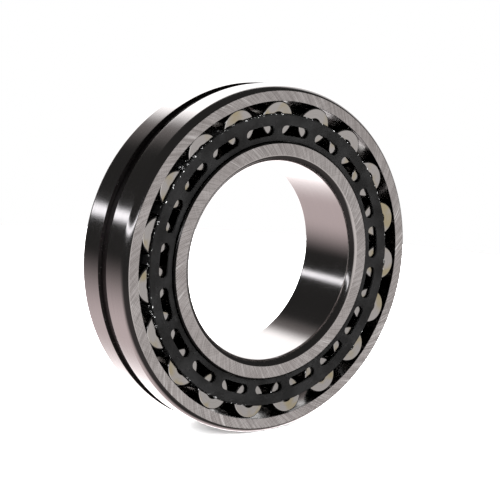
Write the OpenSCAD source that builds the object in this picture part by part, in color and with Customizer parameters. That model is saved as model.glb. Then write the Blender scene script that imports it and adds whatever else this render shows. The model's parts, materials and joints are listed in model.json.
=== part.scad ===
// Spherical roller bearing: two rows of barrel rollers between an inner ring with two
// raceways and an outer ring with one spherical raceway, each row in its own pressed cage.
// The bearing axis is Y. The origin is the centre of the bearing, where the axis crosses the
// middle plane. The front row and its face are at -Y, and +Z is up.
// Profiles are drawn with x = radius and y = distance from the middle plane.

/* [Boundary dimensions] */
// Outside diameter of the outer ring
outer_d = 140; // [139:0.5:142]
// Bore diameter of the inner ring
bore_d = 80; // [76:0.5:82]
// Width of both rings
ring_w = 33; // [33:0.5:35]

/* [Outer ring] */
// Width of the lubrication groove at the outside diameter
groove_w = 6; // [4:0.5:8]
// Depth of the lubrication groove
groove_depth = 1.2; // [0.6:0.1:1.6]
// Diameter of each lubrication hole
oil_hole_d = 3; // [2:0.5:4]
// Number of lubrication holes
oil_holes = 3; // [1:1:6]

/* [Rollers] */
// Number of rollers in each row
roller_n = 19; // [15:1:19]
// Largest diameter of a roller
roller_d = 15.4; // [15:0.1:15.5]
// Length of a roller
roller_l = 12.3; // [11.5:0.1:12.4]
// Angle between a roller's axis and the bearing axis
contact_angle = 8.5; // [8:0.25:9]

/* [Cages] */
// Thickness of the pressed sheet
cage_t = 0.9; // [0.7:0.1:1]
// Outside radius of the flange
flange_r = 58.9; // [58:0.1:59]
// Width of the slots in the flange
slot_w = 4; // [3:0.25:4.5]
// Length of the slots in the flange
slot_l = 13.4; // [9:0.2:13.5]

/* [Hidden] */
$fn = 180;
long_arc_fn = 256;
front = -1;
rear = 1;
pitch = 360 / roller_n;
// Angle of the first roller of each row, counter-clockwise from +X as seen from the front
first_roller = [14, 14 + pitch / 2];
first_oil_hole = 129;
half_w = ring_w / 2;
play = 0.2;

// Rolling geometry
raceway_r = 66;
groove_arc_r = 66;
barrel_arc_r = 64;
roller_r = roller_d / 2;
roller_half = roller_l / 2;
roller_reach = raceway_r - play - roller_r;
roller_pitch_r = roller_reach * cos(contact_angle);
roller_pitch_a = roller_reach * sin(contact_angle);
end_flat_r = barrel_arc_r * cos(asin(roller_half / barrel_arc_r)) - barrel_arc_r + roller_r - 0.6;
dimple_r = 3.3;
dimple_depth = 0.8;

// Ring sections
outer_corner = [2, 3.2];
bore_corner = [2.67, 2.7];
groove_slope = 0.6;
inner_groove_reach = roller_reach - roller_r - play + groove_arc_r;
inner_centre_r = 50.86;
inner_land_r = 47.9;
inner_land_a = 13.7;
land_chamfer = [0.55, 0.4];
guide_bore_r = inner_centre_r + 0.24;
guide_r = 56;

// Cage section
flange_bore_r = inner_land_r + play;
flange_a = 16.1;
flange_lean = 5;
shell_start_a = 15.2;
rim_a = 0.3;
bend = 0.5;
pocket_r = roller_r + play;
pocket_l = roller_l + 0.24;
slot_r = 52.3;

function two_digits(i) = str(i < 10 ? "0" : "", i);
function roller_name(row, i) = str("roller_", row, "_", two_digits(i));

// A rounded corner at radius r and distance a from the middle plane. It leaves the face at
// r + size[0] and reaches the cylinder at a - size[1]; a negative size[0] rounds an outside corner.
function corner(r, a, size, steps = 5) = [
    for (i = [0 : steps])
        let (t = 90 * i / steps)
        [r + size[0] * (1 - sin(t)), a - size[1] * (1 - cos(t))]
];
function reversed(points) = [for (i = [len(points) - 1 : -1 : 0]) points[i]];
// The other half of an outline that is the same on both sides of the middle plane
function mirrored(points) = [for (p = reversed(points)) [p[0], -p[1]]];

// Lines of the cage section: the flange's front and back, and the shell's outside and inside
function flange_front(r) = flange_a - (flange_r - r) * tan(flange_lean);
function flange_back(r) = flange_front(r) - cage_t / cos(flange_lean);
function shell_outside(a) = flange_r + (shell_start_a - a) * tan(contact_angle);
function shell_inside(a) = shell_outside(a) - cage_t / cos(contact_angle);
// Radius where a shell line meets a flange line, each given by its value at zero
function meeting_r(shell_at_0, flange_at_0) =
    (shell_at_0 - tan(contact_angle) * flange_at_0) / (1 + tan(contact_angle) * tan(flange_lean));

// Turns a profile round the bearing axis, with its y pointing out of the given side.
module turned(side) {
    rotate([-90 * side, 0, 0])
        rotate_extrude() children();
}

// Places children on a roller's own axis, with +Z pointing out of the given side.
module on_roller_axis(side, angle) {
    rotate([0, -angle, 0])
        translate([roller_pitch_r, side * roller_pitch_a, 0])
            rotate([-90 * side, 0, side * contact_angle]) children();
}

module outer_ring_profile() {
    half = concat(
        [[raceway_r - 7, half_w]],
        corner(outer_d / 2, half_w, [-outer_corner[0], outer_corner[1]]),
        [[outer_d / 2, groove_w / 2], [outer_d / 2 - groove_depth, groove_w / 2 - groove_slope]]
    );
    difference() {
        polygon(concat(half, mirrored(half)));
        circle(raceway_r, $fn = long_arc_fn);
    }
}

module outer_ring() {
    color([0.62, 0.59, 0.57]) difference() {
        turned(front) outer_ring_profile();
        for (i = [0 : oil_holes - 1])
            rotate([0, 90 - first_oil_hole - i * 360 / oil_holes, 0])
                translate([0, 0, raceway_r - 4]) cylinder(d = oil_hole_d, h = 10);
    }
}

module inner_ring_profile() {
    half = concat(reversed(corner(bore_d / 2, half_w, bore_corner)), [
        [inner_land_r - land_chamfer[0], half_w],
        [inner_land_r, half_w - land_chamfer[1]],
        [inner_land_r, inner_land_a],
        [inner_centre_r, inner_land_a]
    ]);
    difference() {
        polygon(concat(half, mirrored(half)));
        for (side = [front, rear])
            translate(inner_groove_reach * [cos(contact_angle), side * sin(contact_angle)])
                circle(groove_arc_r, $fn = long_arc_fn);
    }
}

module inner_ring() {
    color([0.64, 0.6, 0.58]) turned(front) inner_ring_profile();
}

// A floating ring between the rows. Its sides lie along the inner ends of the rollers.
module guide_ring() {
    half_at_bore = 1.2;
    half_at_rim = half_at_bore + (guide_r - guide_bore_r) * tan(contact_angle);
    color([0.5, 0.49, 0.47]) turned(front)
        polygon([
            [guide_bore_r, -half_at_bore], [guide_r, -half_at_rim],
            [guide_r, half_at_rim], [guide_bore_r, half_at_bore]
        ]);
}

module cage_profile() {
    outside_r = meeting_r(shell_outside(0), flange_front(0));
    inside_r = meeting_r(shell_inside(0), flange_back(0));
    polygon([
        [flange_bore_r, flange_back(flange_bore_r)],
        [flange_bore_r, flange_front(flange_bore_r)],
        [outside_r - bend, flange_front(outside_r - bend)],
        [outside_r - bend * 0.25, flange_front(outside_r) - bend * 0.3],
        [shell_outside(flange_a - bend), flange_a - bend],
        [shell_outside(rim_a), rim_a],
        [shell_inside(rim_a), rim_a],
        [inside_r, flange_back(inside_r)]
    ]);
}

// A kidney slot centred on +X, with round ends a hair larger than its sides are wide.
module slot_outline() {
    half_angle = (slot_l - slot_w) / 2 / slot_r * 180 / PI;
    reach = slot_r + 10;
    intersection() {
        difference() {
            circle(slot_r + slot_w / 2);
            circle(slot_r - slot_w / 2);
        }
        polygon([[0, 0], [reach, -reach * tan(half_angle)], [reach, reach * tan(half_angle)]]);
    }
    for (side = [-1, 1])
        rotate(side * half_angle) translate([slot_r, 0]) circle(slot_w / 2 + 0.03);
}

module cage(side, first) {
    color([0.16, 0.16, 0.17]) difference() {
        turned(side) cage_profile();
        for (i = [0 : roller_n - 1]) {
            on_roller_axis(side, first + i * pitch)
                cylinder(r = pocket_r, h = pocket_l, center = true);
            rotate([-90 * side, 0, 0]) rotate(-side * (first + (i + 0.5) * pitch))
                translate([0, 0, flange_a - 4]) linear_extrude(6) slot_outline();
        }
    }
}
module cage_front() { cage(front, first_roller[0]); }
module cage_rear() { cage(rear, first_roller[1]); }

// Half of a roller's section, with a small two-step corner and a dimple in the end
module roller_profile() {
    end = [
        [0, roller_half - dimple_depth],
        [dimple_r - 0.6, roller_half - dimple_depth],
        [dimple_r, roller_half],
        [end_flat_r, roller_half],
        [end_flat_r + 0.35, roller_half - 0.15],
        [end_flat_r + 0.95, roller_half - 1.05],
        [roller_r + 1, roller_half - 1.2]
    ];
    intersection() {
        polygon(concat(end, mirrored(end)));
        translate([roller_r - barrel_arc_r, 0]) circle(barrel_arc_r, $fn = long_arc_fn);
    }
}

module roller(side, angle) {
    color([0.74, 0.73, 0.7]) on_roller_axis(side, angle)
        rotate_extrude() roller_profile();
}

outer_ring();
inner_ring();
guide_ring();
cage_front();
cage_rear();
for (i = [1 : roller_n]) {
    roller(front, first_roller[0] + (i - 1) * pitch);
    roller(rear, first_roller[1] + (i - 1) * pitch);
}
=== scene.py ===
"""A spherical roller bearing standing on its rim: ground steel rings, bright barrel rollers and black cages.

Lengths are in millimetres until a mesh is built, and angles are in radians. The bearing axis is Y and the
front face looks along -Y. A profile point is (radius, distance from the middle plane).
"""

import json
import math

import bmesh
import bpy
from mathutils import Matrix, Quaternion, Vector


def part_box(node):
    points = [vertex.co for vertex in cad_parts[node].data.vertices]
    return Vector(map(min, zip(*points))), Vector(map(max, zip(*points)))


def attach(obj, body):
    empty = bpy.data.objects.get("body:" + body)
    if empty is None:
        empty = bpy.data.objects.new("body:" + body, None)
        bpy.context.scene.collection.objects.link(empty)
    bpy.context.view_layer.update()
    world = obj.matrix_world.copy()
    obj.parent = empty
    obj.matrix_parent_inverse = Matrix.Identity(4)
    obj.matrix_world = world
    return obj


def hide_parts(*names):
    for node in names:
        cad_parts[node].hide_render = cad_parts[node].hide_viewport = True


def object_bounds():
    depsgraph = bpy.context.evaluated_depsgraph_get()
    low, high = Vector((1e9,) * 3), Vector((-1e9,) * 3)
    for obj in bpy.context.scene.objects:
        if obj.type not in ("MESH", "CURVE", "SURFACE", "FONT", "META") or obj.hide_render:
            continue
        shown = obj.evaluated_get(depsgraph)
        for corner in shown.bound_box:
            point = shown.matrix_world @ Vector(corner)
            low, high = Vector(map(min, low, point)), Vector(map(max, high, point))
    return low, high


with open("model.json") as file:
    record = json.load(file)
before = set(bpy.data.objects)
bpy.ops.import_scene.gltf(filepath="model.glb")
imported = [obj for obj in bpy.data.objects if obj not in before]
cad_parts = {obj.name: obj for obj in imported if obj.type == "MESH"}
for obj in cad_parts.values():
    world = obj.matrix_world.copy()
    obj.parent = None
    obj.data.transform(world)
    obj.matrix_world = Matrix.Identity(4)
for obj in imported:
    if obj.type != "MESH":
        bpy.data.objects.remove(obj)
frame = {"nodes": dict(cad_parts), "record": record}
cad_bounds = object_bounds()

MM = 0.001
TURN = 2 * math.pi
FRONT, REAR = -1, 1
ROW = {FRONT: "front", REAR: "rear"}

# Boundary dimensions, from the frame
OUTER_R = round(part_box("outer_ring")[1][2] / MM, 3)
HALF_W = round(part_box("outer_ring")[1][1] / MM, 3)
BORE_R = next(m["dims"]["r_mm"] for m in frame["record"]["mounts"] if m["name"] == "shaft_bore")
ROLLERS = sum(name.startswith("roller_front") for name in frame["nodes"])
PITCH = TURN / ROLLERS

# Rings
OUTER_CORNER = (2, 3.2)
BORE_CORNER = (2.67, 2.7)
CORNER_STEPS = 10
# How far a corner is flattened, from a quarter ellipse at 0 to a straight chamfer at 1
FLATNESS = 0.35
LAND_CHAMFER = (0.55, 0.4)
RACEWAY_R = 66
GROOVE_HALF, GROOVE_DEPTH, GROOVE_SLOPE = 3, 1.2, 0.6
OIL_HOLE_R, OIL_HOLES_DEG = 1.5, (129, 249, 9)
INNER_ARC_R, INNER_CENTRE_R, INNER_LAND_R, INNER_LAND_A = 66, 50.86, 47.9, 13.7
GUIDE_BORE_R, GUIDE_R, GUIDE_HALF = 51.1, 56, 1.2

# Rollers
CONTACT = math.radians(8.5)
ROLLER_R, ROLLER_HALF, BARREL_ARC_R, ROLLER_REACH, PLAY = 7.7, 6.15, 64, 58.1, 0.2
DIMPLE_R, DIMPLE_DEPTH = 3.3, 0.8
FIRST_ROLLER = {FRONT: math.radians(14), REAR: math.radians(14) + PITCH / 2}
ORBIT_R, ORBIT_A = ROLLER_REACH * math.cos(CONTACT), ROLLER_REACH * math.sin(CONTACT)

# Cages
SHEET, FLANGE_BORE_R, FLANGE_R, FLANGE_A, FLANGE_LEAN = 0.9, 48.1, 58.9, 16.1, math.radians(5)
SHELL_START_A, RIM_A = 15.2, 0.3
SLOT_R, SLOT_HALF_W, SLOT_L = 52.3, 2, 13.4
POCKET_R, POCKET_HALF = 7.9, 6.27
# Width of the small chamfer that softens a sharp edge
EDGE = 0.12

# Mesh density
RING_COLUMNS, GUIDE_COLUMNS, ROLLER_COLUMNS, CAGE_COLUMNS_PER_ROLLER = 360, 180, 96, 12
RACEWAY_STEPS = 12
# The patch of cells that gives way to a cage's slot or pocket, and the one for a lubrication hole
PATCH_ROWS, PATCH_HALF_COLUMNS, SLOT_PATCH_HALF = 8, 5, 2.9
OIL_PATCH_ROWS, OIL_PATCH_HALF_COLUMNS, OIL_PATCH_HALF = 6, 3, 2.2


# ---------------------------------------------------------------- mesh building

def spread(start, end, steps):
    """steps + 1 values from start to end."""
    return [start + (end - start) * i / steps for i in range(steps + 1)]


def corner(r, a, size):
    """A ring's corner, from the face at r + size[0] round to the cylinder at a - size[1]."""
    points = []
    for t in spread(0, 1, CORNER_STEPS):
        across = 1 - (1 - FLATNESS) * math.sin(t * math.pi / 2) - FLATNESS * t
        back = 1 - (1 - FLATNESS) * math.cos(t * math.pi / 2) - FLATNESS * (1 - t)
        points.append((r + size[0] * across, a - size[1] * back))
    return points


def mirrored(points):
    """The other half of a profile that is the same on both sides of the middle plane."""
    return [(r, -a) for r, a in reversed(points)]


def around(side, r, a, angle):
    """A point in metres, at an angle counter-clockwise from +X as seen from the front."""
    return Vector((r * math.cos(angle), side * a, r * math.sin(angle))) * MM


def make_object(name, verts, faces, kinds, materials):
    """A smooth-shaded closed mesh with one material index per face."""
    mesh = bpy.data.meshes.new(name)
    mesh.from_pydata(verts, [], faces)
    for material in materials:
        mesh.materials.append(material)
    mesh.polygons.foreach_set("material_index", kinds)
    bm = bmesh.new()
    bm.from_mesh(mesh)
    bmesh.ops.recalc_face_normals(bm, faces=bm.faces)
    bm.to_mesh(mesh)
    bm.free()
    mesh.polygons.foreach_set("use_smooth", [True] * len(mesh.polygons))
    mesh.set_sharp_from_angle(angle=math.radians(40))
    piece = bpy.data.objects.new(name, mesh)
    bpy.context.scene.collection.objects.link(piece)
    weighted = piece.modifiers.new("weighted_normals", "WEIGHTED_NORMAL")
    weighted.keep_sharp = True
    return piece


def next_rows(points, steps):
    """Rows of the steps + 1 points that are added to a profile next."""
    return list(range(len(points), len(points) + steps + 1))


def columns_round(middle, half):
    """Columns from middle - half to middle + half."""
    return list(range(middle - half, middle + half + 1))


def border(rows, columns):
    """(row, column, u, v) round a patch's edge. u follows the columns and v the rows, from -1 to 1."""
    u, v = spread(-1, 1, len(columns) - 1), spread(-1, 1, len(rows) - 1)
    last_row, last_column = len(rows) - 1, len(columns) - 1
    steps = [(0, j) for j in range(last_column)] + [(i, last_column) for i in range(last_row)]
    steps += [(last_row, j) for j in range(last_column, 0, -1)] + [(i, 0) for i in range(last_row, 0, -1)]
    return [(rows[i], columns[j], u[j], v[i]) for i, j in steps]


def turned_ring(name, profile, columns, paint, materials, side=REAR, phase=0, holes=()):
    """Turns a closed profile round the bearing axis. Each hole is (rows out, rows back, columns, loops): its
    patches on the two walls are left open and joined by the loops, each a function of u and v."""
    n = len(profile)
    verts = [around(side, r, a, phase + TURN * j / columns) for r, a in profile for j in range(columns)]
    kind_of_row = []
    for i, (r, a) in enumerate(profile):
        r2, a2 = profile[(i + 1) % n]
        kind_of_row.append(paint((r + r2) / 2, (a + a2) / 2))
    open_cells = set()
    for rows_out, rows_back, hole_columns, _ in holes:
        for rows in (rows_out, rows_back):
            for i, k in zip(rows, rows[1:]):
                open_cells |= {(min(i, k), j % columns) for j in hole_columns[:-1]}
    faces, kinds = [], []
    for i in range(n):
        for j in range(columns):
            if (i, j) in open_cells:
                continue
            k, l = (i + 1) % n, (j + 1) % columns
            faces.append((i * columns + j, i * columns + l, k * columns + l, k * columns + j))
            kinds.append(kind_of_row[i])
    for rows_out, rows_back, hole_columns, loops in holes:
        edge = border(rows_out, hole_columns)
        chain = [[i * columns + j % columns for i, j, _, _ in edge]]
        for loop in loops:
            chain.append(list(range(len(verts), len(verts) + len(edge))))
            verts += [loop(u, v) for _, _, u, v in edge]
        chain.append([i * columns + j % columns for i, j, _, _ in border(rows_back, hole_columns)])
        kind = kind_of_row[rows_out[0]]
        for ring, below in zip(chain, chain[1:]):
            for k in range(len(edge)):
                l = (k + 1) % len(edge)
                faces.append((ring[k], ring[l], below[l], below[k]))
                kinds.append(kind)
    return make_object(name, verts, faces, kinds, materials)


def turned_solid(name, profile, columns, paint, materials):
    """Turns an open profile, which starts and ends on the axis, round local Z."""
    inner = profile[1:-1]
    verts = [
        Vector((r * math.cos(TURN * j / columns), r * math.sin(TURN * j / columns), a)) * MM
        for r, a in inner for j in range(columns)
    ]
    poles = [len(verts), len(verts) + 1]
    verts += [Vector((0, 0, profile[0][1])) * MM, Vector((0, 0, profile[-1][1])) * MM]
    faces, kinds = [], []
    for i in range(len(inner) - 1):
        kind = paint((inner[i][0] + inner[i + 1][0]) / 2, (inner[i][1] + inner[i + 1][1]) / 2)
        for j in range(columns):
            l = (j + 1) % columns
            faces.append((i * columns + j, i * columns + l, (i + 1) * columns + l, (i + 1) * columns + j))
            kinds.append(kind)
    for pole, i in zip(poles, (0, len(inner) - 1)):
        for j in range(columns):
            faces.append((pole, i * columns + j, i * columns + (j + 1) % columns))
            kinds.append(paint(inner[i][0] / 2, inner[i][1]))
    return make_object(name, verts, faces, kinds, materials)


# ---------------------------------------------------------------- materials

class Nodes:
    """Adds nodes to a tree. An input is a socket to link, a value to set, or None to leave as it is."""

    def __init__(self, tree):
        self.tree = tree

    def put(self, socket, value):
        if isinstance(value, bpy.types.NodeSocket):
            self.tree.links.new(value, socket)
        elif value is not None:
            socket.default_value = value

    def put_all(self, made, **values):
        """Fills a node's sockets by name, with spaces as underscores."""
        for key, value in values.items():
            self.put(made.inputs[key.replace("_", " ")], value)

    def node(self, kind, *inputs, **settings):
        """A new node, with its sockets filled in order."""
        made = self.tree.nodes.new(kind)
        for key, value in settings.items():
            setattr(made, key, value)
        for socket, value in zip(made.inputs, inputs):
            self.put(socket, value)
        return made

    def maths(self, operation, a, b=None):
        return self.node("ShaderNodeMath", a, b, operation=operation).outputs[0]

    def product(self, *factors):
        total = factors[0]
        for factor in factors[1:]:
            total = self.maths("MULTIPLY", total, factor)
        return total

    def vector_maths(self, operation, a, b=None):
        return self.node("ShaderNodeVectorMath", a, b, operation=operation).outputs[0]

    def scaled(self, vector, scale):
        return self.node("ShaderNodeVectorMath", vector, None, None, scale, operation="SCALE").outputs[0]

    def noise(self, vector, scale, detail=3, roughness=0.5):
        made = self.node("ShaderNodeTexNoise")
        self.put_all(made, Vector=vector, Scale=scale, Detail=detail, Roughness=roughness)
        return made.outputs["Fac"]

    def ranged(self, value, low, high, to_low=0.0, to_high=1.0):
        """A smooth step from to_low to to_high, as the value goes from low to high."""
        made = self.node(
            "ShaderNodeMapRange", value, low, high, to_low, to_high, interpolation_type="SMOOTHSTEP"
        )
        return made.outputs[0]

    def band(self, value, low, high, soft):
        """1 between low and high, with soft edges."""
        rise = self.ranged(value, low - soft, low + soft)
        return self.product(rise, self.ranged(value, high - soft, high + soft, 1, 0))

    def mixed(self, factor, a, b, blend="MIX"):
        """Two colours mixed."""
        made = self.node("ShaderNodeMix", data_type="RGBA", blend_type=blend)
        for socket, value in zip((made.inputs[0], made.inputs[6], made.inputs[7]), (factor, a, b)):
            self.put(socket, value)
        return made.outputs[2]


class Recipe(Nodes):
    """A material's nodes, added around its Principled shader."""

    def __init__(self, name):
        self.material = bpy.data.materials.new(name)
        self.material.use_nodes = True
        super().__init__(self.material.node_tree)
        self.shader = next(n for n in self.tree.nodes if n.type == "BSDF_PRINCIPLED")

    def set(self, **values):
        self.put_all(self.shader, **values)

    def bump(self, height, distance, strength=1.0):
        made = self.node("ShaderNodeBump")
        self.put_all(made, Strength=strength, Distance=distance, Height=height)
        return made.outputs[0]

    def millimetres(self):
        """The piece's own coordinates, in millimetres."""
        return self.scaled(self.node("ShaderNodeTexCoord").outputs["Object"], 1 / MM)

    def round_axis(self, place, axis="Y"):
        """(unit direction from the axis, radius, distance along it) of a point in millimetres."""
        flat = self.vector_maths("MULTIPLY", place, (1, 0, 1) if axis == "Y" else (1, 1, 0))
        radius = self.node("ShaderNodeVectorMath", flat, operation="LENGTH").outputs["Value"]
        direction = self.vector_maths("NORMALIZE", flat)
        along = self.node("ShaderNodeSeparateXYZ", place).outputs[axis]
        return direction, radius, along

    def joined(self, x=0.0, y=0.0):
        """A vector from numbers."""
        return self.node("ShaderNodeCombineXYZ", x, y, 0.0).outputs[0]

    def turning_lines(self, direction, along, around_scale, along_scale, detail):
        """A noise of fine lines that run round the axis."""
        slow = self.scaled(direction, around_scale)
        across = self.joined(y=self.maths("MULTIPLY", along, along_scale))
        return self.noise(self.vector_maths("ADD", slow, across), 1.0, detail, 0.6)


def lay(recipe, direction, radius, twist, lines, stretch):
    """A noise of fine lines that cross a ring's face, leaning by twist radians per millimetre of radius."""
    turn = recipe.node("ShaderNodeVectorRotate", rotation_type="Y_AXIS")
    recipe.put_all(turn, Vector=direction, Angle=recipe.maths("MULTIPLY", radius, twist))
    wide = recipe.scaled(turn.outputs[0], lines / TURN)
    drift = recipe.joined(y=recipe.maths("MULTIPLY", radius, stretch))
    return recipe.noise(recipe.vector_maths("ADD", wide, drift), 1.0, 2, 0.6)


def ground_face():
    """A ring's side face: satin, with crossing arcs left by the face grinder and a few bright scratches."""
    recipe = Recipe("ground_face")
    place = recipe.millimetres()
    direction, radius, _ = recipe.round_axis(place)
    coarse = lay(recipe, direction, radius, 0.014, 420, 0.10)
    crossing = lay(recipe, direction, radius, -0.02, 700, 0.08)
    fine = lay(recipe, direction, radius, 0.018, 1300, 0.2)
    cloud = recipe.noise(place, 0.07, 3)
    scratched = recipe.ranged(recipe.noise(place, 0.045, 2), 0.42, 0.62, 0.15, 1)
    scratches = recipe.ranged(lay(recipe, direction, radius, 0.016, 330, 0.07), 0.58, 0.72)
    scratches = recipe.product(scratches, scratched)
    grain = recipe.maths("ADD", recipe.product(coarse, 0.5), recipe.product(crossing, 0.2))
    grain = recipe.maths("ADD", grain, recipe.product(fine, 0.3))
    tone = recipe.mixed(recipe.ranged(grain, 0.35, 0.65), (0.32, 0.303, 0.298, 1), (0.62, 0.60, 0.594, 1))
    tone = recipe.mixed(recipe.ranged(cloud, 0.35, 0.7, 0, 0.4), tone, (0.36, 0.337, 0.33, 1))
    tone = recipe.mixed(scratches, tone, (0.92, 0.915, 0.91, 1))
    roughness = recipe.maths("ADD", recipe.product(grain, 0.22), 0.16)
    recipe.set(Base_Color=tone, Metallic=1.0, Roughness=roughness, Normal=recipe.bump(grain, 0.00008, 0.6))
    return recipe.material


def ground_cylinder(name, colour, roughness, depth):
    """A mirror-like ground cylinder, with hair lines that run round the axis."""
    recipe = Recipe(name)
    place = recipe.millimetres()
    direction, _, along = recipe.round_axis(place)
    lines = recipe.turning_lines(direction, along, 3.0, 9.0, 3)
    haze = recipe.noise(place, 0.12, 3)
    smear = recipe.maths("ADD", recipe.product(haze, 0.06), recipe.product(lines, 0.06))
    darker = tuple(c * 0.93 for c in colour) + (1,)
    tone = recipe.mixed(recipe.ranged(lines, 0.3, 0.7), darker, colour + (1,))
    recipe.set(Base_Color=tone, Metallic=1.0, Roughness=recipe.maths("ADD", smear, roughness - 0.06))
    recipe.set(Normal=recipe.bump(lines, depth, 0.35))
    return recipe.material


def turned_dark():
    """The lubrication groove: turned, unground, dark steel."""
    recipe = Recipe("turned_dark")
    place = recipe.millimetres()
    direction, _, along = recipe.round_axis(place)
    lines = recipe.turning_lines(direction, along, 5.0, 3.0, 4)
    specks = recipe.ranged(recipe.noise(place, 1.6, 2), 0.66, 0.74)
    tone = recipe.mixed(lines, (0.035, 0.03, 0.03, 1), (0.10, 0.09, 0.088, 1))
    tone = recipe.mixed(specks, tone, (0.30, 0.28, 0.27, 1))
    recipe.set(Base_Color=tone, Metallic=1.0, Roughness=recipe.ranged(lines, 0.2, 0.8, 0.3, 0.5))
    recipe.set(Normal=recipe.bump(lines, 0.0001, 0.5))
    return recipe.material


def roller_end():
    """A roller's ground end: satin, with faint rings, and tinted yellow where old oil has dried."""
    recipe = Recipe("roller_end")
    place = recipe.millimetres()
    _, radius, _ = recipe.round_axis(place, "Z")
    seed = recipe.node("ShaderNodeAttribute", attribute_name="seed").outputs["Vector"]
    rings = recipe.noise(recipe.joined(x=radius), 2.2, 2)
    patch = recipe.noise(recipe.vector_maths("ADD", place, seed), 0.11, 2)
    grit = recipe.noise(recipe.vector_maths("ADD", place, seed), 1.3, 3)
    oil = recipe.ranged(patch, 0.47, 0.68, 0, 0.75)
    tone = recipe.mixed(rings, (0.36, 0.35, 0.342, 1), (0.50, 0.49, 0.48, 1))
    tone = recipe.mixed(oil, tone, (0.42, 0.36, 0.20, 1))
    roughness = recipe.maths("ADD", recipe.product(grit, 0.10), 0.12)
    recipe.set(Base_Color=tone, Metallic=1.0, Roughness=roughness, Normal=recipe.bump(rings, 0.00003, 0.3))
    return recipe.material


def polished(name, colour, roughness):
    """A honed rolling surface, almost a mirror, with a thin uneven film of oil."""
    recipe = Recipe(name)
    place = recipe.millimetres()
    film = recipe.noise(place, 0.35, 4, 0.55)
    oiled = tuple(c * 0.86 for c in colour) + (1,)
    tone = recipe.mixed(recipe.ranged(film, 0.4, 0.7), colour + (1,), oiled)
    recipe.set(Base_Color=tone, Metallic=1.0)
    recipe.set(Roughness=recipe.ranged(film, 0.35, 0.7, roughness, roughness + 0.07))
    recipe.set(Normal=recipe.bump(film, 0.00004, 0.15))
    return recipe.material


def dimple_dark():
    """The forged centre of a roller's end."""
    recipe = Recipe("dimple_dark")
    grit = recipe.noise(recipe.millimetres(), 2.4, 4, 0.6)
    tone = recipe.mixed(grit, (0.05, 0.048, 0.046, 1), (0.16, 0.15, 0.14, 1))
    recipe.set(Base_Color=tone, Metallic=1.0, Roughness=recipe.ranged(grit, 0.3, 0.7, 0.35, 0.6))
    recipe.set(Normal=recipe.bump(grit, 0.00008, 0.4))
    return recipe.material


def cage_black():
    """Treated black sheet: matte, faintly grained, with wet spots of oil, and a few bright metal specks on
    the bend that are painted glints.
    """
    recipe = Recipe("treated_sheet")
    place = recipe.millimetres()
    _, radius, _ = recipe.round_axis(place)
    grain = recipe.noise(place, 1.8, 4, 0.6)
    cloud = recipe.ranged(recipe.noise(place, 0.10, 3), 0.3, 0.7)
    drops = recipe.ranged(recipe.noise(place, 0.55, 2), 0.63, 0.70)
    at_bend = recipe.product(recipe.ranged(radius, 58.3, 58.7), recipe.ranged(radius, 59.0, 59.3, 1, 0))
    # Painted glints: specks of bright metal along the bend that stand in for oil catching the light
    painted_glints = recipe.product(recipe.ranged(recipe.noise(place, 0.8, 3), 0.62, 0.66), at_bend)
    tone = recipe.mixed(cloud, (0.0016, 0.0016, 0.0016, 1), (0.0035, 0.0035, 0.0036, 1))
    tone = recipe.mixed(painted_glints, tone, (0.8, 0.8, 0.8, 1))
    matte = recipe.ranged(grain, 0.3, 0.7, 0.42, 0.56)
    gloss = recipe.maths("SUBTRACT", matte, recipe.product(drops, 0.27))
    recipe.set(Base_Color=tone, Metallic=painted_glints, Roughness=gloss, Specular_IOR_Level=0.2)
    recipe.set(Normal=recipe.bump(grain, 0.00006, 0.3))
    return recipe.material


# ---------------------------------------------------------------- pieces

def oil_hole_loop(angle, wall_r, radius):
    """A loop round a lubrication hole. On the raceway it follows the raceway's sphere."""
    on_sphere = wall_r <= RACEWAY_R + 1

    def point(u, v):
        t = math.atan2(v, u)
        across, along = radius * math.cos(t) / wall_r, -radius * math.sin(t)
        r = wall_r - (RACEWAY_R - math.sqrt(RACEWAY_R**2 - along**2)) if on_sphere else wall_r
        return around(REAR, r, along, angle + across)
    return point


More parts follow.
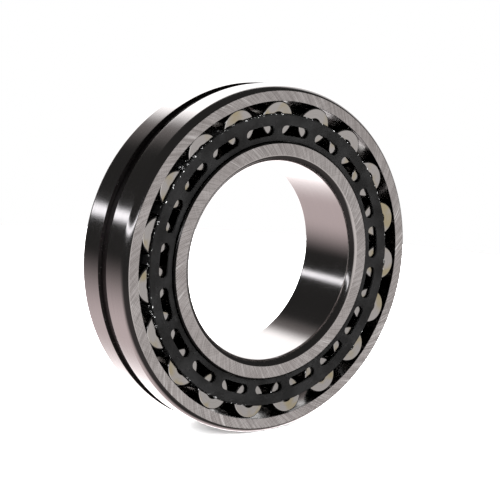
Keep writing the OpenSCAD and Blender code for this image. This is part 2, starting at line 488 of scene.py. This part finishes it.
def build_outer_ring(materials):
    """The outer ring, with three lubrication holes from its groove to the raceway."""
    face, outside, groove, raceway = range(4)
    face_edge_r = math.sqrt(RACEWAY_R**2 - HALF_W**2)
    floor_r = OUTER_R - GROOVE_DEPTH
    floor_half = GROOVE_HALF - GROOVE_SLOPE
    upper = [(face_edge_r + EDGE, HALF_W), (OUTER_R - OUTER_CORNER[0] - EDGE, HALF_W)]
    upper += corner(OUTER_R, HALF_W, (-OUTER_CORNER[0], OUTER_CORNER[1]))
    upper += [(OUTER_R, a) for a in spread(HALF_W - OUTER_CORNER[1] - 0.1, GROOVE_HALF + 2 * EDGE, 6)]
    upper += [(OUTER_R - EDGE * 0.3, GROOVE_HALF + EDGE * 0.3), (OUTER_R - EDGE, GROOVE_HALF)]
    upper += [(floor_r + EDGE, floor_half + EDGE / 2), (floor_r, floor_half - EDGE)]
    rows_out = next_rows(upper, OIL_PATCH_ROWS)
    profile = upper + [(floor_r, a) for a in spread(OIL_PATCH_HALF, -OIL_PATCH_HALF, OIL_PATCH_ROWS)]
    profile += mirrored(upper)

    patch_tilt, face_tilt = math.asin(OIL_PATCH_HALF / RACEWAY_R), math.asin((HALF_W - EDGE) / RACEWAY_R)
    width = [RACEWAY_R * math.sin(t) for t in spread(-face_tilt, -patch_tilt, RACEWAY_STEPS)]
    rows_back = next_rows(profile + width[:-1], OIL_PATCH_ROWS)[::-1]
    width += spread(-OIL_PATCH_HALF, OIL_PATCH_HALF, OIL_PATCH_ROWS)[1:]
    width += [RACEWAY_R * math.sin(t) for t in spread(patch_tilt, face_tilt, RACEWAY_STEPS)][1:]
    profile += [(math.sqrt(RACEWAY_R**2 - a**2), a) for a in width]

    holes = []
    for degrees in OIL_HOLES_DEG:
        angle = math.radians(degrees)
        loops = [
            oil_hole_loop(angle, floor_r, OIL_HOLE_R + 0.25),
            oil_hole_loop(angle, floor_r - 0.25, OIL_HOLE_R),
            oil_hole_loop(angle, RACEWAY_R + 0.2, OIL_HOLE_R),
            oil_hole_loop(angle, RACEWAY_R, OIL_HOLE_R + 0.2),
        ]
        # The ring has one column for each degree
        holes.append((rows_out, rows_back, columns_round(degrees, OIL_PATCH_HALF_COLUMNS), loops))

    def paint(r, a):
        if abs(a) > HALF_W - EDGE / 2:
            return face
        if r < RACEWAY_R + 0.5 and r <= math.sqrt(RACEWAY_R**2 - a**2) + EDGE:
            return raceway
        return groove if abs(a) < GROOVE_HALF + EDGE / 2 else outside

    return turned_ring("outer_ring_steel", profile, RING_COLUMNS, paint, materials, holes=holes)


def build_inner_ring(materials):
    """The inner ring, with two raceways, a middle land and rounded bore corners."""
    face, bore, raceway = range(3)
    reach = ROLLER_REACH - ROLLER_R - PLAY + INNER_ARC_R
    arc_r, arc_a = reach * math.cos(CONTACT), reach * math.sin(CONTACT)

    def raceway_r(a):
        return arc_r - math.sqrt(INNER_ARC_R**2 - (a - arc_a) ** 2)

    raceway_end = arc_a - math.sqrt(INNER_ARC_R**2 - (arc_r - INNER_CENTRE_R) ** 2)
    bore_end = HALF_W - BORE_CORNER[1] - 0.1
    face_r, land_end = INNER_LAND_R - LAND_CHAMFER[0], HALF_W - LAND_CHAMFER[1]
    half = corner(BORE_R, HALF_W, BORE_CORNER)[::-1]
    half += [(half[-1][0] + EDGE, HALF_W), (face_r - EDGE, HALF_W), (face_r, HALF_W - EDGE * 0.3)]
    half += [(INNER_LAND_R - EDGE * 0.3, land_end), (INNER_LAND_R, land_end - EDGE)]
    half += [(INNER_LAND_R, a) for a in spread(15.8, INNER_LAND_A + EDGE, 3)]
    half += [(INNER_LAND_R + EDGE, INNER_LAND_A), (raceway_r(INNER_LAND_A) - EDGE, INNER_LAND_A)]
    half += [(raceway_r(a), a) for a in spread(INNER_LAND_A - EDGE, raceway_end + EDGE, 16)]
    half += [(INNER_CENTRE_R, raceway_end - EDGE), (INNER_CENTRE_R, 0.5)]
    profile = half + mirrored(half) + [(BORE_R, a) for a in spread(-bore_end, bore_end, 10)]

    def paint(r, a):
        if abs(a) > HALF_W - EDGE / 4:
            return face
        return bore if r < BORE_R + BORE_CORNER[0] else raceway

    return turned_ring("inner_ring_steel", profile, RING_COLUMNS, paint, materials)


def build_guide_ring(materials):
    """The loose ring between the rows, with sides that lie along the rollers' inner ends."""
    slope = math.tan(CONTACT)
    rim_half = GUIDE_HALF + (GUIDE_R - GUIDE_BORE_R) * slope
    half = [(GUIDE_BORE_R, GUIDE_HALF - EDGE), (GUIDE_BORE_R + EDGE, GUIDE_HALF + EDGE * slope)]
    half += [(r, GUIDE_HALF + (r - GUIDE_BORE_R) * slope) for r in (51.4, 53.5, 55.7)]
    half += [(GUIDE_R - EDGE, rim_half - EDGE / 2), (GUIDE_R, rim_half - 2 * EDGE)]
    return turned_ring("guide_ring_steel", half + mirrored(half), GUIDE_COLUMNS, lambda r, a: 0, materials)


def build_roller_mesh(materials):
    """One roller on local Z: barrel, rounded corners, ground ends and their dimples."""
    flat_end, barrel, dimple = range(3)
    arc_centre = ROLLER_R - BARREL_ARC_R
    round_r = 0.65
    corner_a = ROLLER_HALF - round_r
    corner_r = math.sqrt((BARREL_ARC_R - round_r) ** 2 - corner_a**2) + arc_centre
    tangent = math.asin(corner_a / (BARREL_ARC_R - round_r))
    floor_r = DIMPLE_R - 0.6
    end = [(0, ROLLER_HALF - DIMPLE_DEPTH), (floor_r - 0.25, ROLLER_HALF - DIMPLE_DEPTH)]
    end += [(floor_r, ROLLER_HALF - DIMPLE_DEPTH * 0.93), (floor_r + 0.14, ROLLER_HALF - DIMPLE_DEPTH * 0.74)]
    end += [(DIMPLE_R - 0.08, ROLLER_HALF - 0.1), (DIMPLE_R, ROLLER_HALF), (DIMPLE_R + 0.1, ROLLER_HALF)]
    end += [(r, ROLLER_HALF) for r in spread(DIMPLE_R + 0.6, corner_r - 0.1, 4)]
    end += [
        (corner_r + round_r * math.cos(t), corner_a + round_r * math.sin(t))
        for t in spread(math.pi / 2, tangent, 6)
    ]
    half = end + [
        (arc_centre + BARREL_ARC_R * math.cos(t), BARREL_ARC_R * math.sin(t))
        for t in spread(tangent, 0, 8)[1:-1]
    ]
    profile = half + [(ROLLER_R, 0)] + mirrored(half)

    def paint(r, a):
        if r < DIMPLE_R:
            return dimple
        return flat_end if r > DIMPLE_R and abs(a) > ROLLER_HALF - 0.02 else barrel

    return turned_solid("roller", profile, ROLLER_COLUMNS, paint, materials)


def roller_place(side, angle):
    """A roller's axis at its place in the row, with local Z pointing out of the given side."""
    return (
        Matrix.Rotation(-angle, 4, "Y")
        @ Matrix.Translation(Vector((ORBIT_R, side * ORBIT_A, 0)) * MM)
        @ Matrix.Rotation(side * CONTACT, 4, "Z")
        @ Matrix.Rotation(-side * math.pi / 2, 4, "X")
    )


def flange_front(r):
    """Distance of the cage flange's front from the middle plane."""
    return FLANGE_A - (FLANGE_R - r) * math.tan(FLANGE_LEAN)


def flange_back(r):
    """Distance of the cage flange's back from the middle plane."""
    return flange_front(r) - SHEET / math.cos(FLANGE_LEAN)


def shell_point(height, z):
    """(r, a) on the cage's shell, height above the roller's axis and z along it from the roller's middle."""
    r = ORBIT_R + height * math.cos(CONTACT) - z * math.sin(CONTACT)
    return r, ORBIT_A + height * math.sin(CONTACT) + z * math.cos(CONTACT)


def slot_loop(side, middle, depth_of, grow):
    """A loop round a slot that is wider by grow. depth_of gives its distance from the middle plane."""
    half, straight = SLOT_HALF_W + grow, (SLOT_L / 2 - SLOT_HALF_W) / SLOT_R

    def point(u, v):
        r = SLOT_R + half * math.sin(v * math.pi / 2)
        angle = u * (straight + half * math.cos(v * math.pi / 2) / SLOT_R)
        return around(side, r, depth_of(r), middle + angle)
    return point


def pocket_loop(side, middle, height, grow):
    """A loop round a pocket that is wider by grow, on the shell at a height above the roller's axis."""

    def point(u, v):
        r, a = shell_point(height, -v * (POCKET_HALF + grow))
        # Half the pocket's angle. Each round comes closer, as the shell curves away from the roller's top
        half = 0.12
        for _ in range(4):
            above = height - r * (1 - math.cos(half)) * math.cos(CONTACT)
            half = math.asin(math.sqrt((POCKET_R + grow) ** 2 - above**2) / r)
        shift = r * (1 - math.cos(u * half)) * math.sin(CONTACT)
        return around(side, r + shift * math.sin(CONTACT), a - shift * math.cos(CONTACT), middle + u * half)
    return point


def build_cage(side, materials):
    """A pressed cage: a flange with kidney slots, and a shell with a pocket round each roller."""
    top = (FLANGE_R + (SHELL_START_A - ORBIT_A) * math.tan(CONTACT) - ORBIT_R) * math.cos(CONTACT)
    under = top - SHEET

    def shell_z(height, a):
        return (a - ORBIT_A - height * math.sin(CONTACT)) / math.cos(CONTACT)

    rim_top, rim_under = shell_z(top, RIM_A), shell_z(under, RIM_A)
    slot_rows = spread(SLOT_R - SLOT_PATCH_HALF, SLOT_R + SLOT_PATCH_HALF, PATCH_ROWS)
    bend_r, bend_a = shell_point(top, shell_z(top, FLANGE_A - 0.5))
    bend_front = flange_front(bend_r)
    # The flange's front, from its bore out to the bend
    profile = [(FLANGE_BORE_R, flange_front(FLANGE_BORE_R) - EDGE)]
    profile += [(r, flange_front(r)) for r in (FLANGE_BORE_R + EDGE, 48.6)]
    slots_out = next_rows(profile, PATCH_ROWS)
    profile += [(r, flange_front(r)) for r in slot_rows + [56.2, 57.4, bend_r - 0.5]]
    profile += [(bend_r - 0.32, bend_front - 0.07), (bend_r - 0.12, bend_front - 0.22), (bend_r, bend_a)]
    # The shell's outside, its rim and its inside
    pockets_out = next_rows(profile, PATCH_ROWS)
    profile += [shell_point(top, z) for z in spread(POCKET_HALF + 0.25, -POCKET_HALF - 0.4, PATCH_ROWS)]
    profile += [shell_point(top, rim_top + 2 * EDGE), shell_point(top - EDGE, rim_top)]
    profile += [shell_point(under + EDGE, rim_under), shell_point(under, rim_under + 2 * EDGE)]
    pockets_back = next_rows(profile, PATCH_ROWS)[::-1]
    profile += [shell_point(under, z) for z in spread(-POCKET_HALF - 0.4, POCKET_HALF + 0.06, PATCH_ROWS)]
    # The flange's back
    profile += [(r, flange_back(r)) for r in (57.9, 57.6, 56.4)]
    slots_back = next_rows(profile, PATCH_ROWS)[::-1]
    profile += [(r, flange_back(r)) for r in slot_rows[::-1] + [48.6, FLANGE_BORE_R + EDGE]]
    profile += [(FLANGE_BORE_R, flange_back(FLANGE_BORE_R) + EDGE)]

    holes = []
    for i in range(ROLLERS):
        pocket_column = i * CAGE_COLUMNS_PER_ROLLER
        pocket = FIRST_ROLLER[side] + i * PITCH
        slot = pocket + PITCH / 2
        loops = [
            slot_loop(side, slot, flange_front, EDGE),
            slot_loop(side, slot, lambda r: flange_front(r) - EDGE, 0),
            slot_loop(side, slot, lambda r: flange_back(r) + EDGE, 0),
            slot_loop(side, slot, flange_back, EDGE),
        ]
        span = columns_round(pocket_column + CAGE_COLUMNS_PER_ROLLER // 2, PATCH_HALF_COLUMNS)
        holes.append((slots_out, slots_back, span, loops))
        loops = [
            pocket_loop(side, pocket, top, EDGE),
            pocket_loop(side, pocket, top - EDGE, 0),
            pocket_loop(side, pocket, under + EDGE / 2, 0),
            pocket_loop(side, pocket, under, EDGE / 2),
        ]
        holes.append((pockets_out, pockets_back, columns_round(pocket_column, PATCH_HALF_COLUMNS), loops))
    name = "cage_" + ROW[side] + "_sheet"
    columns = ROLLERS * CAGE_COLUMNS_PER_ROLLER
    return turned_ring(name, profile, columns, lambda r, a: 0, materials, side, FIRST_ROLLER[side], holes)


def finish_piece(piece, node):
    """Ties a piece to the CAD body it replaces."""
    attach(piece, node)
    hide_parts(node)


face_steel = ground_face()
outside_steel = ground_cylinder("ground_outside", (0.66, 0.635, 0.625), 0.12, 0.000012)
bore_steel = ground_cylinder("ground_bore", (0.64, 0.615, 0.605), 0.125, 0.000015)
groove_steel = turned_dark()
# The raceways and the guide ring get a dark grey, far below the barrels' steel: painted shade of the
# bearing's inside, between the rollers and under the cages
shaded_raceway_steel = polished("honed_raceway_painted_shade", (0.20, 0.195, 0.19), 0.13)
barrel_steel = polished("polished_barrel", (0.74, 0.73, 0.715), 0.08)
end_steel = roller_end()
dimple_steel = dimple_dark()
cage_sheet = cage_black()

outer_ring = build_outer_ring([face_steel, outside_steel, groove_steel, shaded_raceway_steel])
finish_piece(outer_ring, "outer_ring")
finish_piece(build_inner_ring([face_steel, bore_steel, shaded_raceway_steel]), "inner_ring")
finish_piece(build_guide_ring([shaded_raceway_steel]), "guide_ring")
for side in (FRONT, REAR):
    finish_piece(build_cage(side, [cage_sheet]), "cage_" + ROW[side])

pattern = build_roller_mesh([end_steel, barrel_steel, dimple_steel])
for side in (FRONT, REAR):
    for i in range(ROLLERS):
        node = "roller_%s_%02d" % (ROW[side], i + 1)
        roller = pattern.copy()
        roller.data = pattern.data.copy()
        roller.name = node + "_steel"
        bpy.context.scene.collection.objects.link(roller)
        roller.matrix_world = roller_place(side, FIRST_ROLLER[side] + i * PITCH)
        # Shifts the stains, so that no two rollers look the same
        seed = roller.data.attributes.new("seed", "FLOAT_VECTOR", "POINT")
        offset = (i * 17.3, side * 31.7 + i * 5.1, i * 11.9)
        seed.data.foreach_set("vector", offset * len(roller.data.vertices))
        finish_piece(roller, node)
bpy.data.objects.remove(pattern)


# ---------------------------------------------------------------- studio

# In metres
TABLE_R, TABLE_Y = 0.42, 0.12
ROOM_COLOUR = (0.025, 0.0245, 0.024, 1)
# Strength of the light on matt surfaces, so high that the table shows hardly any shadow
DAYLIGHT = 8.0


def build_floor():
    """A pale round table top under the bearing."""
    recipe = Recipe("pale_table")
    cloud = recipe.noise(recipe.millimetres(), 0.01, 3)
    recipe.set(Base_Color=recipe.mixed(cloud, (0.90, 0.90, 0.90, 1), (0.93, 0.925, 0.92, 1)), Roughness=0.7)
    bm = bmesh.new()
    bmesh.ops.create_circle(bm, cap_ends=True, radius=TABLE_R, segments=128)
    mesh = bpy.data.meshes.new("table")
    bm.to_mesh(mesh)
    bm.free()
    mesh.materials.append(recipe.material)
    table = bpy.data.objects.new("table", mesh)
    table.location = (0, TABLE_Y, cad_bounds[0][2])
    bpy.context.scene.collection.objects.link(table)
    table.visible_glossy = False


def backdrop(sky, azimuth, height):
    """The wide white backdrop behind the bearing. Low down its left end fades slowly."""
    left = sky.ranged(azimuth, sky.ranged(height, -15, 10, -16, 0), sky.ranged(height, -15, 10, 26, 17))
    right = sky.ranged(azimuth, sky.ranged(height, -15, 5, 75, 62), sky.ranged(height, -15, 5, 110, 98), 1, 0)
    top = sky.ranged(height, 36, 52, 1, 0)
    bottom = sky.ranged(height, -52, -30)
    dim_corner = sky.maths("MAXIMUM", sky.ranged(azimuth, 46, 60, 1, 0.55), sky.ranged(height, -20, 10, 1, 0))
    return sky.product(left, right, top, bottom, dim_corner)


def sheet(sky, azimuth, height):
    """The backdrop's paper, grey in the shade, where it runs forward underneath."""
    top = sky.ranged(height, -29, -3, 1, 0)
    bottom = sky.ranged(height, -84, -56, 0.05, 1)
    left = sky.ranged(azimuth, -84, -40, 0.04, 1)
    right = sky.ranged(azimuth, 58, 100, 1, 0.05)
    return sky.product(top, left, right, bottom)


def board(sky, azimuth, height):
    """A grey board in front, from the right round to the middle. The rings' faces reflect it."""
    across = sky.maths("MAXIMUM", sky.ranged(azimuth, 113, 127), sky.ranged(azimuth, -166, -148, 1, 0))
    return sky.product(across, sky.band(height, -30, 4, 7))


def spill(sky, azimuth, height):
    """Faint light beside the backdrop's left end."""
    across = sky.product(sky.ranged(azimuth, -14, 2), sky.ranged(azimuth, 12, 30, 1, 0))
    return sky.product(across, sky.band(height, 16, 50, 7))


def strip(sky, azimuth, height):
    """A narrow strip light on the left, a little above the horizon."""
    middle = sky.ranged(azimuth, -40, -28, 12.5, 10.3)
    away = sky.maths("ABSOLUTE", sky.maths("SUBTRACT", height, middle))
    return sky.product(sky.ranged(away, 0.8, 3.2, 1, 0), sky.band(azimuth, -150, -22, 5))


def build_world():
    """A dark room with a few bright surfaces, which the steel reflects. Matt surfaces get even daylight, and
    the camera sees white. Azimuths are counted from +Y towards +X, and all directions are in degrees."""
    world = bpy.data.worlds.new("studio")
    world.use_nodes = True
    bpy.context.scene.world = world
    world.node_tree.nodes.clear()
    sky = Nodes(world.node_tree)
    x, y, z = sky.node("ShaderNodeSeparateXYZ", sky.node("ShaderNodeTexCoord").outputs["Generated"]).outputs
    azimuth = sky.product(sky.maths("ARCTAN2", x, y), math.degrees(1))
    height = sky.product(sky.maths("ARCSINE", z), math.degrees(1))
    colour = ROOM_COLOUR
    for surface, surface_colour in (
        (backdrop, (1.58, 1.57, 1.58, 1)),
        (sheet, (0.65, 0.55, 0.555, 1)),
        (board, (0.77, 0.735, 0.725, 1)),
        (spill, (0.17, 0.155, 0.153, 1)),
        (strip, (1.7, 1.7, 1.78, 1)),
    ):
        colour = sky.mixed(surface(sky, azimuth, height), colour, surface_colour, "ADD")
    room = sky.node("ShaderNodeBackground", colour, 1.0).outputs[0]
    daylight = sky.node("ShaderNodeBackground", (1, 1, 1, 1), DAYLIGHT).outputs[0]
    paper = sky.node("ShaderNodeBackground", (1, 1, 1, 1), 1.0).outputs[0]
    rays = sky.node("ShaderNodeLightPath").outputs
    lit = sky.node("ShaderNodeMixShader", rays["Is Diffuse Ray"], room, daylight).outputs[0]
    shown = sky.node("ShaderNodeMixShader", rays["Is Camera Ray"], lit, paper).outputs[0]
    sky.node("ShaderNodeOutputWorld", shown)


def view_direction(azimuth, elevation):
    """From the bearing towards a viewer. Azimuth 0 looks along +Y."""
    a, e = math.radians(azimuth), math.radians(elevation)
    return Vector((math.sin(a) * math.cos(e), -math.cos(a) * math.cos(e), math.sin(e)))


def add_area_light(name, azimuth, elevation, distance, size, power):
    """A square soft box that looks at the bearing, at an azimuth counted as the camera's is."""
    light = bpy.data.lights.new(name, "AREA")
    light.shape = "SQUARE"
    light.size = size
    light.energy = power
    lamp = bpy.data.objects.new(name, light)
    lamp.location = view_direction(azimuth, elevation) * distance
    lamp.rotation_euler = (-lamp.location).to_track_quat("-Z", "Y").to_euler()
    lamp.visible_glossy = False
    bpy.context.scene.collection.objects.link(lamp)


def build_camera(azimuth, elevation, roll, distance, lens, target):
    """A camera that looks at a target point, from a distance to the bearing's centre."""
    camera = bpy.data.objects.new("camera", bpy.data.cameras.new("camera"))
    camera.data.lens = lens
    camera.data.clip_start = 0.01
    camera.location = view_direction(azimuth, elevation) * distance
    aim = (Vector(target) - camera.location).to_track_quat("-Z", "Y")
    camera.rotation_euler = (aim @ Quaternion((0, 0, 1), math.radians(roll))).to_euler()
    bpy.context.scene.collection.objects.link(camera)
    bpy.context.scene.camera = camera


build_floor()
build_world()
add_area_light("key", azimuth=0, elevation=80, distance=1.0, size=2.2, power=60)
# The photo's view
build_camera(-36.66, 9.78, 1.81, distance=0.595, lens=105.26, target=(-0.00025, 0.00018, 0.00226))
bpy.context.scene.view_settings.view_transform = "Standard"
